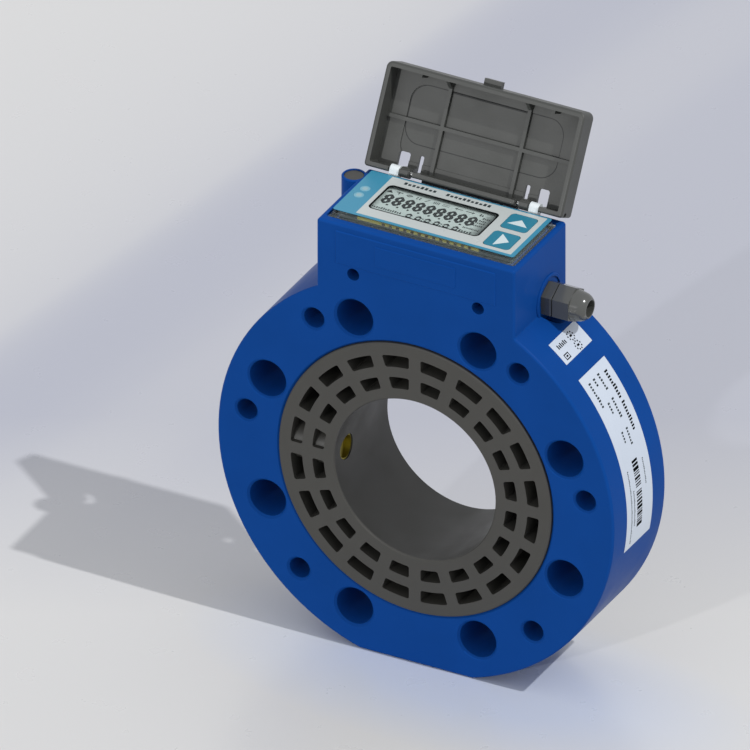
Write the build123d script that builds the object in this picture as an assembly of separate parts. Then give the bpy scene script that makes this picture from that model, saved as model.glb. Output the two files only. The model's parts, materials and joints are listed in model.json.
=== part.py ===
from build123d import *
import os
from math import asin, atan, cos, degrees, hypot, radians, sin, sqrt, tan

# Water flow meter of the ultrasonic kind, made to be clamped between two pipe flanges.
# A thick blue body holds a dark plastic measuring tube, and its upper end is a register housing
# with a display under a hinged lid. The lid is drawn open, at its stop.
# The origin is on the bore axis, halfway between the front and the rear face. +X is to the right
# of someone who faces the front, +Y goes from the front face to the rear face, and +Z is up.
# All sizes are in millimetres, and angles in degrees.

# Pipe line
bore_radius = 40.0
bolt_circle_radius = 80.0
bolt_count = 8
bolt_hole_radius = 9.0

# Body casting
rim_width = 9.5  # outside the bolt holes
body_radius = bolt_circle_radius + bolt_hole_radius + rim_width
body_depth = 49.0
base_cut = 4.1  # how much the flat underside takes off the disc
base_height = body_radius - base_cut
housing_width = 98.5
housing_height = 21.5  # above the top of the disc
housing_top = body_radius + housing_height
edge_round = 1.25
corner_round = 1.5
hole_chamfer = 1.0

# Screws that clamp the rear cover, sunk deep in the front face
screw_circle_out = 5.0  # outside the bolt circle
screw_circle_radius = bolt_circle_radius + screw_circle_out
screw_angles = (53.2, 8.1, -46.9)  # each has a mirror image on the other side
screw_hole_radius = 5.0
screw_hole_depth = 20.0
screw_head_radius = 4.6
screw_head_height = 6.0
screw_radius = 3.0
screw_thread_depth = 4.8
small_screw_x = 31.0
small_screw_z = housing_top - 23.8
small_hole_radius = 3.0
small_head_radius = 2.7
small_head_height = 2.5
small_screw_radius = 1.75
screw_post_radius = 5.0

# Rear cover, let into the back of the casting
cover_rim = 4.0
cover_depth = 6.0
cover_top = housing_top - 5.0
cover_fit = 0.15

# Measuring tube
tube_inside_bolts = 3.3  # metal between the tube and the bolt holes
tube_radius = bolt_circle_radius - bolt_hole_radius - tube_inside_bolts
tube_stand_out = 0.8  # on each side of the body
tube_fit = 0.2
tube_chamfer = 0.5
collar_radius = tube_radius + 1.5
collar_front = -6.0
slot_count = 20
rib_width = 5.8
slot_depth = 21.0
slot_corner = 0.6
inner_slots = (bore_radius + 5.3, bore_radius + 11.0)  # inner and outer radius of each row
outer_slots = (tube_radius - 11.7, tube_radius - 5.9)
seal_width = 2.0
seal_groove_depth = 2.0
seal_place = 22.6  # middle of each seal, from the middle of the body
seal_fit = 0.08

# Sound transducers
sound_offset = 13.9  # each lies this far from the middle of the body, along Y
sound_boss_radius = 9.6
sensor_radius = 5.9
sensor_flange_radius = 6.9
sensor_seat_radius = bore_radius + 12.0  # distance of the pocket's step from the bore axis
sensor_seal = 1.5
sensor_flange = 3.0
sensor_cap_end = tube_radius - 2.7
sensor_rim = 0.6  # round the sunk sound face
sensor_recess = 0.6  # from the bore out to the rim
sensor_fit = 0.08
lead_groove_depth = 2.3
lead_groove_width = 5.0
lead_hole_radius = 2.2

# Register cavity, open to the rear and up to the display
cavity_width = housing_width - 17.5
cavity_height = 33.5  # from its floor to the housing top
cavity_floor = housing_top - cavity_height
cavity_top = housing_top - 9.0
front_wall = 4.0
cavity_corner = 2.5
housing_seal_land = 0.6  # between the cavity and the groove for its rubber frame
housing_seal_width = 1.6
housing_seal_depth = 1.2
board_rail_width = 9.5
board_rail_height = 4.0
board_seat = housing_top - 12.0

# Raised panel on the front of the housing
panel_width = housing_width - 18.9
panel_bottom = housing_top - 20.0
panel_top = housing_top - 3.3
panel_rise = 0.5
panel_bevel = 0.4
panel_frame_width = 40.0
panel_frame_bottom = housing_top - 16.2
panel_frame_top = housing_top - 6.2
panel_frame_rise = 0.3

# Display seat in the housing top
seat_width = housing_width - 4.7
seat_front = -20.4
seat_rear = 20.7
seat_floor = housing_top - 2.6
seat_opening_width = housing_width - 22.5
seat_opening_front = -11.0
seat_opening_rear = 13.0

# Clear display cover
glass_width = housing_width - 8.2
glass_front = -17.8
glass_rear = 19.7
glass_top = housing_top + 2.4
glass_wall = 1.8
glass_plate = 1.2
glass_corner = 1.0
glass_chamfer = 0.25
glass_foot = 1.4  # at the two ends
glass_foot_front = 2.2
glass_foot_rear = 0.7
glass_foot_height = 1.2
gasket_height = 0.6
gasket_lap = 0.9  # under the clear cover's wall

# Overlay film and what shows through it
film_thickness = 0.2
film_inset = 0.25
window_left = -(glass_width / 2 - 12.95)
window_right = glass_width / 2 - 22.25
window_front = -9.6
window_rear = 12.7
window_corner = 2.5
port_x = -(glass_width / 2 - 5.05)
port_ys = (-1.9, 4.1)
port_radius = 2.3

# Keys
key_x = glass_width / 2 - 11.55
key_ys = {"up_key": 9.5, "enter_key": -6.9}
key_size = 13.0
key_corner = 2.0
key_height = 3.05
key_flange = 0.4
key_flange_height = 0.7
key_fit = 0.2  # all round, in its opening
key_rest_gap = 0.05  # under the cover, where the key's flange stops
key_stand_out = 0.05
dome_radius = 4.0
dome_height = 0.35

# Display parts
board_thickness = 1.4
board_margin = 0.4
backlight_left = -(glass_width / 2 - 11.15)
backlight_right = glass_width / 2 - 18.85
backlight_front = -15.0
backlight_rear = 15.4
backlight_height = 1.3
lcd_front = -12.2
lcd_rear = 15.2
lcd_height = 1.0
pin_count = 13
pin_left = backlight_left + 13.0
pin_right = backlight_right - 4.34
pin_pitch = (pin_right - pin_left) / (pin_count - 1)
pin_width = 1.3
pin_depth = 0.4
display_screw_x = glass_width / 2 - 4.4
display_screws = ((-display_screw_x, -11.5), (-display_screw_x, 13.5), (display_screw_x, 1.3))
display_screw_head = 1.25
display_screw_radius = 0.8
display_screw_length = 4.0

# Main board and battery
main_board_front = -18.0
main_board_rear = 16.0
main_board_thickness = 1.6
board_screw_x = cavity_width / 2 - 6.5
board_screw_ys = (-8.0, 10.0)
board_screw_head = 2.1
board_screw_radius = 1.2
board_screw_head_height = 1.5
board_screw_length = 5.0
chips = ((-14.0, -4.0, 12.0, 12.0), (10.0, -6.0, 9.0, 7.0), (22.0, 4.0, 6.0, 9.0))  # x, y, width, depth
chip_height = 1.2
link_width = 30.0
link_depth = 2.6
link_y = 10.0
cell_radius = 9.25
cell_length = 50.5
cell_gap = 1.0
cradle_length = 44.0
cradle_floor = 1.6
cradle_height = 6.5
cell_fit = 0.2
pad_length = 40.0

# Lid, given in its closed place and then swung open
lid_width = housing_width
lid_length = 47.7
lid_depth = 10.4
lid_plate = 2.0
lid_wall = 2.4
lid_gap = 0.3  # from the housing top to the closed lid's rim
lid_rear = 24.3
lid_corner = 3.0
lid_rear_corner = 1.5
lid_inner_corner = 0.8
lid_lip_half = 24.0  # lip at the rear edge of the lid's plate, between the hinges
lid_lip_reach = 1.9
lid_lip_thickness = 1.6
lid_round = 1.0
lid_open_angle = 118.7
lid_rib_x = 19.7
lid_rib_width = 1.7
lid_rib_height = 1.2
lid_gusset = 4.2
lid_panel_width = lid_width - 22.5
lid_panel_margins = (6.0, 41.0)
lid_panel_corner = 8.0
lid_panel_step = 0.5
lid_nub_x = 33.0
lid_nub_size = 1.6
lid_tab_width = 8.6
lid_tab_reach = 2.9
lid_tab_from = 6.0
lid_tab_to = 8.8

# Lid hinge
hinge_back = 1.27  # from the lid's rear face to the pin
hinge_up = 3.32  # from the lid's rim to the pin
knuckle_radius = 2.4
pin_radius = 1.1
pin_fit = 0.04
knuckle = (27.5, 31.8)  # from the middle of the lid, along X
outer_ear = (32.4, 37.0)
inner_ear = (25.7, 27.1)
ear_window = 0.4  # clearance round each ear in the lid
window_reach = 9.6
ear_window_corner = 1.0

# Cable gland
gland_y = 7.5
gland_drop = 30.0  # below the housing top
gland_z = housing_top - gland_drop
gland_ring_radius = 11.4
gland_ring_width = 1.4
gland_ring_rise = 0.7
gland_recess_fit = 0.15  # round the washer
gland_recess_depth = 0.8
gland_washer = 1.0
gland_flats = 15.0
gland_base = 5.0
gland_neck = 0.5
gland_thread_radius = 6.0
gland_bore_radius = 4.2
gland_nut_length = 15.0
gland_nut_hex = 8.0
gland_mouth_radius = 3.9
gland_seal_bore = 3.25
gland_seal_length = 5.6
thread_fit = 0.05

# Blind post beside the housing
post_x = -(housing_width / 2 + 2.85)
post_y = 16.3
post_radius = 5.6
plug_radius = 4.5
plug_length = 8.0
plug_recess = 0.4
plug_fit = 0.05

# Plates let into the rim
label_front = -11.7
label_rear = 12.3
label_thickness = 0.3
label_fit = 0.08
rating_label_angles = (-10.3, 41.0)
small_label_angles = (46.0, 52.9)

# Places that follow from the sizes above
front = -body_depth / 2
rear = body_depth / 2
cover_seat = rear - cover_depth
tube_end = rear + tube_stand_out
housing_side = housing_width / 2
cavity_front = front + front_wall
glass_bottom = seat_floor + gasket_height
board_top = seat_floor + board_thickness
film_top = glass_top + film_thickness
lid_rim = housing_top + lid_gap
hinge_y = lid_rear - hinge_back
hinge_z = lid_rim + hinge_up
slot_pitch = 360 / slot_count
path_tilt = degrees(atan(sound_offset / bore_radius))
cut_length = 2 * (body_radius + housing_top)  # longer than anything it cuts


def disc(radius, y0, y1, x=0.0, z=0.0):
    """A round bar along Y."""
    return Pos(x, (y0 + y1) / 2, z) * Rot(90, 0, 0) * Cylinder(radius, y1 - y0)


def bar_x(radius, x0, x1, y, z):
    """A round bar along X."""
    return Pos((x0 + x1) / 2, y, z) * Rot(0, 90, 0) * Cylinder(radius, x1 - x0)


def bar_z(radius, z0, z1, x, y):
    """A round bar along Z."""
    return Pos(x, y, (z0 + z1) / 2) * Cylinder(radius, z1 - z0)


def block(x0, x1, y0, y1, z0, z1):
    """A box between two corners."""
    return Pos((x0 + x1) / 2, (y0 + y1) / 2, (z0 + z1) / 2) * Box(x1 - x0, y1 - y0, z1 - z0)


def across(profile, y0, y1):
    """A profile drawn in X and Z, carried along Y from y0 to y1."""
    plane = Plane(origin=(0, y1, 0), x_dir=(1, 0, 0), z_dir=(0, -1, 0))
    return extrude(plane * profile, y1 - y0)


def upright(profile, z0, z1):
    """A profile drawn in X and Y, carried along Z from z0 to z1."""
    return extrude(Pos(0, 0, z0) * profile, z1 - z0)


def sideways(profile, x0, x1):
    """A profile drawn in Y and Z, carried along X from x0 to x1."""
    return extrude(Plane(origin=(x0, 0, 0), x_dir=(0, 1, 0), z_dir=(1, 0, 0)) * profile, x1 - x0)


def rounded_rectangle(a0, a1, b0, b1, corner):
    """A rectangle between two corners of its plane, with round corners."""
    return Pos((a0 + a1) / 2, (b0 + b1) / 2) * RectangleRounded(a1 - a0, b1 - b0, corner)


def polar(radius, angle):
    """A point of a circle, in the plane of the drawing."""
    return (radius * cos(radians(angle)), radius * sin(radians(angle)))


def sector(r0, r1, a0, a1):
    """A piece of a flat ring between two radii and two angles."""
    middle = (a0 + a1) / 2
    return make_face(
        [
            ThreePointArc(polar(r1, a0), polar(r1, middle), polar(r1, a1)),
            Line(polar(r1, a1), polar(r0, a1)),
            ThreePointArc(polar(r0, a1), polar(r0, middle), polar(r0, a0)),
            Line(polar(r0, a0), polar(r1, a0)),
        ]
    )


def mouth(radius, y, x, z, inwards=1):
    """The cone that breaks the edge of a hole at y; inwards is the way into the metal, along Y."""
    cone = Cone(radius + hole_chamfer, radius, hole_chamfer)
    return Pos(x, y + inwards * hole_chamfer / 2, z) * Rot(-90 * inwards, 0, 0) * cone


def bolt_places():
    """Centres of the pipe bolts, in X and Z."""
    first = 180 / bolt_count
    return [polar(bolt_circle_radius, first + 360 / bolt_count * i) for i in range(bolt_count)]


def screw_places():
    """Centres of the rear cover's large screws, in X and Z."""
    right = [polar(screw_circle_radius, angle) for angle in screw_angles]
    return right + [(-x, z) for x, z in right]


def small_screw_places():
    """Centres of the housing's two small screws, in X and Z."""
    return [(small_screw_x, small_screw_z), (-small_screw_x, small_screw_z)]


def body_outline(inset, top):
    """The front view of the body: a disc with a flat underside, and the housing on top of it."""
    under = Pos(0, inset - base_height - cut_length / 2) * Rectangle(cut_length, cut_length)
    housing = Pos(0, top / 2) * Rectangle(housing_width - 2 * inset, top)
    outline = Circle(body_radius - inset) - under + housing
    return fillet(outline.vertices(), corner_round)


def cavity_outline(grow=0.0):
    """The front view of the register cavity."""
    half = cavity_width / 2 + grow
    return rounded_rectangle(-half, half, cavity_floor - grow, cavity_top + grow, cavity_corner + grow)


def post():
    """The blind post at the housing's left side, with the hole for its plug."""
    bar = bar_z(post_radius, 0, housing_top, post_x, post_y)
    bar = chamfer(bar.edges().sort_by(Axis.Z)[-1], plug_recess)
    return bar & block(-cut_length, 0, front, rear, base_height - body_depth / 2, cut_length)


def front_panel():
    """The raised panel over the front of the housing, with a raised field in its middle."""
    half = panel_width / 2
    panel = block(-half, half, front - panel_rise, front, panel_bottom, panel_top)
    face_edges = panel.faces().sort_by(Axis.Y)[0].edges()
    panel = chamfer(face_edges, panel_bevel)
    half = panel_frame_width / 2
    top = front - panel_rise
    field = block(-half, half, top - panel_frame_rise, top, panel_frame_bottom, panel_frame_top)
    return panel + chamfer(field.faces().sort_by(Axis.Y)[0].edges(), panel_frame_rise * 0.6)


def gland_ring():
    """The low boss for the gland's seat, still without the hollow that makes it a ring."""
    outside = gland_ring_radius
    ring = bar_x(outside, housing_side - 1, housing_side + gland_ring_rise, gland_y, gland_z)
    return chamfer(ring.edges().group_by(Axis.X)[-1], gland_ring_rise * 0.5)


def rim_recess(angles):
    """The shallow pocket in the rim for a plate."""
    floor = body_radius - label_thickness - label_fit
    margin = degrees(label_fit / body_radius)
    pocket = sector(floor, body_radius + edge_round, angles[0] - margin, angles[1] + margin)
    return across(pocket, label_front - label_fit, label_rear + label_fit)


def body_casting():
    """The painted casting: flange, housing, post, seats for the tube, the display and the gland."""
    body = across(body_outline(0, housing_top), front, rear)
    ends = body.edges().filter_by(lambda e: abs(abs(e.center().Y) - rear) < 1e-3)
    body = fillet(ends, edge_round)
    body += post()
    body += front_panel()
    body += gland_ring()
    body -= across(body_outline(cover_rim, cover_top), cover_seat, rear + edge_round)
    body -= disc(tube_radius + tube_fit, front - 1, rear)
    body -= mouth(tube_radius + tube_fit, front, 0, 0)
    body -= disc(collar_radius + tube_fit, collar_front, rear)
    cavity = across(cavity_outline(), cavity_front, cover_seat)
    for x, z in small_screw_places():
        cavity -= disc(screw_post_radius, cavity_front, cover_seat, x, z)
    half = cavity_width / 2
    for side in (-1, 1):
        inner, outer = sorted((side * half, side * (half - board_rail_width)))
        cavity -= block(inner, outer, cavity_front, cover_seat, board_seat - board_rail_height, board_seat)
    body -= cavity
    groove = cavity_outline(housing_seal_land + housing_seal_width) - cavity_outline(housing_seal_land)
    body -= across(groove, cover_seat - housing_seal_depth, cover_seat)
    body -= upright(
        rounded_rectangle(-seat_width / 2, seat_width / 2, seat_front, seat_rear, glass_corner * 1.5),
        seat_floor,
        housing_top + 1,
    )
    opening = seat_opening_width / 2
    body -= upright(
        rounded_rectangle(-opening, opening, seat_opening_front, seat_opening_rear, cavity_corner),
        cavity_top - 1,
        housing_top,
    )
    for x, z in bolt_places():
        body -= disc(bolt_hole_radius, front - 1, rear, x, z) + mouth(bolt_hole_radius, front, x, z)
    for x, z in screw_places():
        floor = front + screw_hole_depth
        body -= disc(screw_hole_radius, front - 1, floor, x, z) + mouth(screw_hole_radius, front, x, z)
        body -= disc(screw_radius + tube_fit, floor, rear, x, z)
    for x, z in small_screw_places():
        floor = front + screw_hole_depth
        body -= disc(small_hole_radius, front - 1, floor, x, z)
        body -= disc(small_screw_radius + tube_fit, floor, rear, x, z)
    for x, y in display_screws:
        body -= bar_z(display_screw_radius + thread_fit, board_top - display_screw_length, seat_floor, x, y)
    for x, y in board_screw_places():
        low = board_seat + main_board_thickness - board_screw_length
        body -= bar_z(board_screw_radius + thread_fit, low, board_seat, x, y)
    for y in (-sound_offset, sound_offset):
        body -= bar_z(lead_hole_radius, bore_radius, cavity_floor + 1, 0, y)
    hole = plug_radius + plug_fit
    body -= bar_z(hole, housing_top - plug_recess - plug_length, housing_top + 1, post_x, post_y)
    gland_seat = housing_side - gland_recess_depth
    body -= bar_x(gland_ring_radius - gland_ring_width, housing_side, body_radius, gland_y, gland_z)
    washer_seat = gland_flats / 2 + gland_recess_fit
    body -= bar_x(washer_seat, gland_seat, body_radius, gland_y, gland_z)
    body -= bar_x(gland_thread_radius + thread_fit, 0, gland_seat, gland_y, gland_z) & block(
        cavity_width / 2 - 1, body_radius, front, rear, 0, cut_length
    )
    body -= rim_recess(rating_label_angles)
    body -= rim_recess(small_label_angles)
    return body


def rear_cover():
    """The flat plate that closes the casting from behind and clamps the tube's collar."""
    outline = offset(body_outline(cover_rim, cover_top), -cover_fit)
    plate = across(outline, cover_seat, rear)
    back = plate.edges().filter_by(lambda e: abs(e.center().Y - rear) < 1e-3)
    plate = chamfer(back, cover_fit * 3)
    plate -= disc(tube_radius + tube_fit, cover_seat - 1, rear + 1)
    plate -= mouth(tube_radius + tube_fit, rear, 0, 0, inwards=-1)
    for x, z in bolt_places():
        plate -= disc(bolt_hole_radius, cover_seat - 1, rear + 1, x, z)
        plate -= mouth(bolt_hole_radius, rear, x, z, inwards=-1)
    for x, z in screw_places():
        plate -= disc(screw_radius + thread_fit, cover_seat - 1, cover_seat + screw_thread_depth, x, z)
    for x, z in small_screw_places():
        plate -= disc(small_screw_radius + thread_fit, cover_seat - 1, cover_seat + screw_thread_depth, x, z)
    return plate


def slot(radii):
    """One slot of the tube's end face, with parallel ribs on both sides of it, about the X axis."""
    low, high = radii
    half_low = slot_pitch / 2 - degrees(asin(rib_width / 2 / low))
    half_high = slot_pitch / 2 - degrees(asin(rib_width / 2 / high))
    face = make_face(
        [
            ThreePointArc(polar(high, -half_high), (high, 0), polar(high, half_high)),
            Line(polar(high, half_high), polar(low, half_low)),
            ThreePointArc(polar(low, half_low), (low, 0), polar(low, -half_low)),
            Line(polar(low, -half_low), polar(high, -half_high)),
        ]
    )
    return chamfer(face.vertices(), slot_corner)


def tube_profile():
    """Half of the tube's section, with its radius along X and its length along Y."""
    groove = tube_radius - seal_groove_depth
    half = seal_width / 2 + seal_fit
    points = [
        (bore_radius, -tube_end + tube_chamfer),
        (bore_radius + tube_chamfer, -tube_end),
        (tube_radius - tube_chamfer, -tube_end),
        (tube_radius, -tube_end + tube_chamfer),
        (tube_radius, -seal_place - half),
        (groove, -seal_place - half),
        (groove, -seal_place + half),
        (tube_radius, -seal_place + half),
        (tube_radius, collar_front),
        (collar_radius, collar_front),
        (collar_radius, cover_seat),
        (tube_radius, cover_seat),
        (tube_radius, seal_place - half),
        (groove, seal_place - half),
        (groove, seal_place + half),
        (tube_radius, seal_place + half),
        (tube_radius, tube_end - tube_chamfer),
        (tube_radius - tube_chamfer, tube_end),
        (bore_radius + tube_chamfer, tube_end),
        (bore_radius, tube_end - tube_chamfer),
    ]
    return make_face(Polyline(*points, close=True))


def measuring_tube():
    """The moulded tube: two rows of blind slots in each end, and two pockets for transducers."""
    tube = revolve(tube_profile(), Axis.Y, 360)
    slots = Sketch() + [
        Rot(0, 0, slot_pitch * (i + 0.5)) * slot(radii)
        for i in range(slot_count)
        for radii in (inner_slots, outer_slots)
    ]
    tube -= across(slots, -tube_end, slot_depth - tube_end)
    tube -= across(slots, tube_end - slot_depth, tube_end)
    boss_end = sqrt((tube_radius - seal_groove_depth) ** 2 - sound_boss_radius**2)
    for side in (-1, 1):
        y = side * sound_offset
        near, far = sorted((side * (bore_radius + 1), side * boss_end))
        tube += bar_x(sound_boss_radius, near, far, y, 0)
    for side in (-1, 1):
        y = side * sound_offset
        near, far = sorted((0, side * (collar_radius + 1)))
        tube -= bar_x(sensor_radius + sensor_fit, near, far, y, 0)
        near, far = sorted((side * sensor_seat_radius, side * (collar_radius + 1)))
        tube -= bar_x(sensor_flange_radius + sensor_fit, near, far, y, 0)
        start, stop = sorted((90, 90 - side * 90))
        groove = sector(tube_radius - lead_groove_depth, collar_radius + 1, start, stop)
        tube -= across(groove, y - lead_groove_width / 2, y + lead_groove_width / 2)
    return tube


def tube_seal(side):
    """A square-section rubber ring in the tube's groove, at the front or at the rear."""
    low = tube_radius - seal_groove_depth + seal_fit
    high = tube_radius + tube_fit - seal_fit
    half = seal_width / 2
    place = side * seal_place
    return disc(high, place - half, place + half) - disc(low, place - seal_width, place + seal_width)


def turned(piece, side):
    """A transducer piece for the right side, or turned half round Z for the left side."""
    return piece if side > 0 else Rot(0, 0, 180) * piece


def transducer(side):
    """Brass sleeve: a rim just behind the bore, and a sunk face square to the line to the other one."""
    y = sound_offset
    seat = sensor_seat_radius + sensor_seal
    face_x = bore_radius + sensor_radius * tan(radians(path_tilt))
    piece = bar_x(sensor_radius, bore_radius / 2, seat + sensor_flange, y, 0)
    piece += bar_x(sensor_flange_radius, seat, seat + sensor_flange, y, 0)
    reach = bore_radius / 2
    in_front = Pos(face_x, y, 0) * Rot(0, 0, path_tilt) * block(-cut_length, 0, -reach, reach, -reach, reach)
    sunk = in_front & bar_x(sensor_radius - sensor_rim, 0, seat, y, 0)
    return turned(piece - disc(bore_radius + sensor_recess, front, rear) - sunk, side)


def transducer_seal(side):
    """Rubber washer on the step of the transducer's pocket."""
    y = sound_offset
    seat = sensor_seat_radius
    ring = bar_x(sensor_flange_radius, seat, seat + sensor_seal, y, 0)
    return turned(ring - bar_x(sensor_radius + sensor_fit, seat - 1, seat + sensor_flange, y, 0), side)


def transducer_cap(side):
    """Threaded plug behind the transducer, with a driver slot and a hole for its two wires."""
    y = sound_offset
    start = sensor_seat_radius + sensor_seal + sensor_flange
    cap = bar_x(sensor_flange_radius, start, sensor_cap_end, y, 0)
    cap -= bar_x(sensor_flange_radius / 4, start - 1, sensor_cap_end + 1, y, 0)
    slot_half = sensor_flange_radius / 8
    wide = 2 * sensor_flange_radius
    cap -= block(sensor_cap_end - 2, sensor_cap_end + 1, y - slot_half, y + slot_half, -wide, wide)
    return turned(cap, side)


def clamping_screws(places, head_radius, head_height, radius, socket):
    """Socket screws from the floor of their front holes into the rear cover."""
    floor = front + screw_hole_depth
    screws = []
    for x, z in places:
        head = disc(head_radius, floor - head_height, floor, x, z)
        head -= across(Pos(x, z) * RegularPolygon(socket, 6), floor - head_height, floor - head_height / 2)
        shank = disc(radius, floor, cover_seat + screw_thread_depth - seal_fit, x, z)
        screws.append(head + shank)
    return Compound(children=screws)


def housing_seal():
    """Rubber frame in the groove round the register cavity."""
    outside = cavity_outline(housing_seal_land + housing_seal_width - seal_fit)
    frame = outside - cavity_outline(housing_seal_land + seal_fit)
    return across(frame, cover_seat - housing_seal_depth + seal_fit, cover_seat)


def board_screw_places():
    """Centres of the main board's screws, in X and Y."""
    return [(x, y) for x in (-board_screw_x, board_screw_x) for y in board_screw_ys]


def cell_places():
    """Centres of the two cells, in Y and Z."""
    middle = (cavity_front + cover_seat) / 2
    apart = cell_radius + cell_gap / 2
    z = cavity_floor + cradle_floor + cell_fit + cell_radius
    return [(middle - apart, z), (middle + apart, z)]


def battery_cradle():
    """Moulded tray with a round trough for each cell."""
    half = cradle_length / 2
    y0 = cell_places()[0][0] - cell_radius
    y1 = cell_places()[1][0] + cell_radius
    tray = block(-half, half, y0, y1, cavity_floor, cavity_floor + cradle_height)
    for y, z in cell_places():
        tray -= bar_x(cell_radius + cell_fit, -cell_length, cell_length, y, z)
    return tray


def battery_cells():
    """Two lithium cells with a raised contact at one end, facing opposite ways."""
    cells = []
    half = cell_length / 2
    for side, (y, z) in zip((-1, 1), cell_places()):
        stub = cell_radius * 0.3
        low, high = sorted((side * half, side * (half - 1.2)))
        body = bar_x(cell_radius, -half, half, y, z) - (
            bar_x(cell_radius, low, high, y, z) - bar_x(stub, low, high, y, z)
        )
        cells.append(body)
    return Compound(children=cells)


def battery_pad():
    """Foam strip that holds the cells down under the main board."""
    low = cell_places()[0][1] + cell_radius
    half = pad_length / 2
    return block(-half, half, cell_places()[0][0], cell_places()[1][0], low, board_seat)


def main_board():
    """Circuit board on the two rails of the cavity, with its larger chips."""
    half = cavity_width / 2 - board_margin
    top = board_seat + main_board_thickness
    board = block(-half, half, main_board_front, main_board_rear, board_seat, top)
    for x, y, width, depth in chips:
        board += block(x - width / 2, x + width / 2, y - depth / 2, y + depth / 2, top, top + chip_height)
    for x, y in board_screw_places():
        board -= bar_z(board_screw_radius + thread_fit, board_seat - 1, top + 1, x, y)
    return board


def board_screws():
    """Small screws that hold the main board on its rails."""
    top = board_seat + main_board_thickness
    screws = []
    for x, y in board_screw_places():
        head = bar_z(board_screw_head, top, top + board_screw_head_height, x, y)
        screws.append(head + bar_z(board_screw_radius, top - board_screw_length, top, x, y))
    return Compound(children=screws)


def board_link():
    """Upright connector between the main board and the display board."""
    half = link_width / 2
    low = board_seat + main_board_thickness
    return block(-half, half, link_y - link_depth / 2, link_y + link_depth / 2, low, seat_floor)


def display_board():
    """Circuit board that carries the display, on the ledge of the housing."""
    half = glass_width / 2 - glass_wall - board_margin
    y0 = glass_front + glass_wall + board_margin
    y1 = glass_rear - glass_wall - board_margin
    board = upright(rounded_rectangle(-half, half, y0, y1, glass_corner), seat_floor, board_top)
    for x, y in display_screws:
        board -= bar_z(display_screw_radius + thread_fit, seat_floor - 1, board_top + 1, x, y)
    return board


def display_board_screws():
    """Small screws that hold the display board on its ledge."""
    screws = []
    for x, y in display_screws:
        head = bar_z(display_screw_head, board_top, board_top + display_screw_head, x, y)
        screws.append(head + bar_z(display_screw_radius, board_top - display_screw_length, board_top, x, y))
    return Compound(children=screws)


def display_gasket():
    """Rubber frame between the ledge and the foot of the clear cover."""
    half = glass_width / 2 - gasket_lap
    inside = rounded_rectangle(
        -half, half, glass_front + gasket_lap, glass_rear - gasket_lap, glass_corner
    )
    return upright(foot_outline() - inside, seat_floor, glass_bottom)


def foot_outline():
    """The top view of the clear cover's foot."""
    half = glass_width / 2 + glass_foot
    return rounded_rectangle(
        -half, half, glass_front - glass_foot_front, glass_rear + glass_foot_rear, glass_corner
    )


def ear(x0, x1):
    """One hinge ear at the back of the clear cover, round about the hinge pin."""
    root = glass_rear - glass_wall / 2
    low = housing_top + lid_gap
    high = glass_top - glass_chamfer
    slope = atan((hinge_z - high) / (hinge_y - glass_rear))
    reach = hypot(hinge_y - glass_rear, hinge_z - high)
    lift = degrees(asin(min(1.0, knuckle_radius / reach)) + slope)
    top = (hinge_y - knuckle_radius * sin(radians(lift)), hinge_z + knuckle_radius * cos(radians(lift)))
    below = (hinge_y, low + lid_gap)
    profile = make_face(
        Polyline(
            (root, low), below, (hinge_y, hinge_z), top, (glass_rear, high), (root, high), close=True
        )
    )
    profile += Pos(hinge_y, hinge_z) * Circle(knuckle_radius)
    return sideways(profile, x0, x1)


def display_cover():
    """Clear moulded cover over the display, with the ears of the lid's hinge."""
    half = glass_width / 2
    outside = rounded_rectangle(-half, half, glass_front, glass_rear, glass_corner)
    cover = upright(outside, glass_bottom, glass_top)
    cover = chamfer(cover.edges().group_by(Axis.Z)[-1], glass_chamfer)
    cover += upright(foot_outline(), glass_bottom, glass_bottom + glass_foot_height)
    inside = rounded_rectangle(
        -half + glass_wall, half - glass_wall, glass_front + glass_wall, glass_rear - glass_wall, glass_corner
    )
    for side in (-1, 1):
        for span in (outer_ear, inner_ear):
            x0, x1 = sorted((side * span[0], side * span[1]))
            cover += ear(x0, x1)
    cover -= upright(inside, glass_bottom, glass_top - glass_plate)
    for y in key_ys.values():
        cover -= upright(key_outline(y, key_fit), glass_bottom, glass_top + 1)
    for y in port_ys:
        cover -= bar_z(port_radius + thread_fit, glass_bottom, glass_top + 1, port_x, y)
    return cover - bar_x(pin_radius + pin_fit / 2, -half, half, hinge_y, hinge_z)


def key_outline(y, grow=0.0):
    """The top view of a key, or of its opening."""
    half = key_size / 2 + grow
    return rounded_rectangle(key_x - half, key_x + half, y - half, y + half, key_corner)


def overlay_film():
    """Thin printed film on the clear cover, cut out over the display, the keys and the light ports."""
    half = glass_width / 2 - film_inset
    film = upright(
        rounded_rectangle(-half, half, glass_front + film_inset, glass_rear - film_inset, glass_corner),
        glass_top,
        film_top,
    )
    window = rounded_rectangle(window_left, window_right, window_front, window_rear, window_corner)
    film -= upright(window, glass_top - 1, film_top + 1)
    for y in key_ys.values():
        film -= upright(key_outline(y, key_fit), glass_top - 1, film_top + 1)
    for y in port_ys:
        film -= bar_z(port_radius + thread_fit, glass_top - 1, film_top + 1, port_x, y)
    return film


def light_ports():
    """Two round light guides from the display board up to the film."""
    return Compound(children=[bar_z(port_radius, board_top, film_top, port_x, y) for y in port_ys])


def key(y):
    """A key that stands in the cover's opening, with a flange that keeps it from coming out."""
    top = film_top + key_stand_out
    flange_top = glass_top - glass_plate - key_rest_gap
    cap = upright(key_outline(y), top - key_height, top)
    return cap + upright(key_outline(y, key_flange), flange_top - key_flange_height, flange_top)


def key_domes():
    """Two sprung metal domes under the keys."""
    middle = board_top + dome_height / 2
    return Compound(
        children=[
            Pos(key_x, y, middle) * Cone(dome_radius, dome_radius / 2, dome_height) for y in key_ys.values()
        ]
    )


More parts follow.
